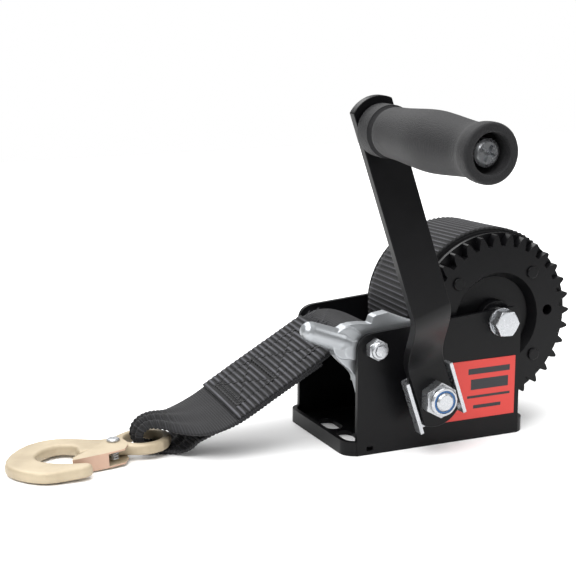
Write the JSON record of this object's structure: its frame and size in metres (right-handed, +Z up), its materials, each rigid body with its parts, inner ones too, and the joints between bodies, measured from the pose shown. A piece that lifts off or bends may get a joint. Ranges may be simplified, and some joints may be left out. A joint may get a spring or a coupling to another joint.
{
  "type": "boat trailer winch",
  "caption": "Hand-cranked strap winch: pressed steel frame, geared drum with a wound webbing strap, rocking pawl, side crank with a turning grip, and a forged snap hook.",
  "frame": {"origin": "centre of the base's underside", "axes": "+Z up; the strap pays out towards -X; the crank is on the -Y side; +Y across the winch"},
  "size_m": [0.307, 0.2216, 0.1903],
  "materials": {
    "black_paint": "semi-gloss powder coat",
    "zinc_plate": "bright zinc plate",
    "cast_zinc": "tumbled cast metal with bright zinc plate",
    "machined_steel": "plain turned steel",
    "spring_wire": "drawn wire",
    "yellow_zinc": "yellow passivated zinc plate",
    "webbing": "ribbed woven polyester",
    "grip_rubber": "matt moulded rubber",
    "nylon": "moulded",
    "label_film": "satin printed film"
  },
  "bodies": {
    "base": {"frame": "black_paint", "label": "label_film", "spool_bolt": "zinc_plate", "spool_washer_near": "zinc_plate", "spool_washer_far": "zinc_plate", "spool_nut": "zinc_plate", "spool_spacer": "machined_steel", "bush_near": "machined_steel", "bush_far": "machined_steel", "pawl_bolt": "zinc_plate", "pawl_nut": "zinc_plate", "pawl_spacer": "machined_steel", "pawl_spring": "spring_wire", "strap_tail": "webbing"},
    "drum": {"drum_gear": "black_paint", "drum_flange_near": "black_paint", "drum_flange_far": "black_paint", "drum_barrel": "black_paint", "strap_pin": "machined_steel", "strap_roll": "webbing", "drum_rivet_1": "black_paint", "drum_rivet_2": "black_paint", "drum_rivet_3": "black_paint", "drum_rivet_4": "black_paint"},
    "crank": {"crank_shaft": "zinc_plate", "pinion": "machined_steel", "shaft_circlip": "machined_steel", "shaft_collar": "black_paint", "arm_clip": "zinc_plate", "crank_arm": "black_paint", "crank_nut": "zinc_plate", "crank_nut_insert": "nylon", "grip_bolt": "zinc_plate", "grip_nut": "zinc_plate"},
    "grip": {"grip": "grip_rubber", "grip_sleeve": "machined_steel"},
    "pawl": {"pawl": "cast_zinc"},
    "hook": {"hook": "yellow_zinc", "latch_rivet": "zinc_plate", "latch_spring": "spring_wire"},
    "latch": {"hook_latch": "yellow_zinc"}
  },
  "joints": [
    {"name": "drum_spin", "type": "hinge", "parent": "base", "child": "drum", "pos_m": [0.0362, 0, 0.0635], "axis": [0, 1, 0], "continuous": true},
    {"name": "crank_spin", "type": "hinge", "parent": "base", "child": "crank", "pos_m": [-0.0124, 0, 0.03203], "axis": [0, 1, 0], "continuous": true},
    {"name": "grip_spin", "type": "hinge", "parent": "crank", "child": "grip", "pos_m": [-0.0602, -0.12, 0.1745], "axis": [0, 1, 0], "continuous": true},
    {"name": "pawl_rock", "type": "hinge", "parent": "base", "child": "pawl", "pos_m": [-0.0393, -0.03, 0.057], "axis": [0, 1, 0], "range_deg": [-15, 15], "stiffness_Nm_per_rad": 0.5},
    {"name": "hook_lift", "type": "hinge", "parent": "base", "child": "hook", "pos_m": [-0.1354, 0.0145, 0.0068], "axis": [0, 1, 0], "range_deg": [0, 30]},
    {"name": "latch_swing", "type": "hinge", "parent": "hook", "child": "latch", "pos_m": [-0.16467, 0.0122, 0.0056], "axis": [0.04, 0, -0.9992], "range_deg": [0, 40], "stiffness_Nm_per_rad": 0.02, "springref_deg": -17.19}
  ],
  "couplings": [
    {"joint": "crank_spin", "follows": "drum_spin", "ratio": -3.2}
  ]
}
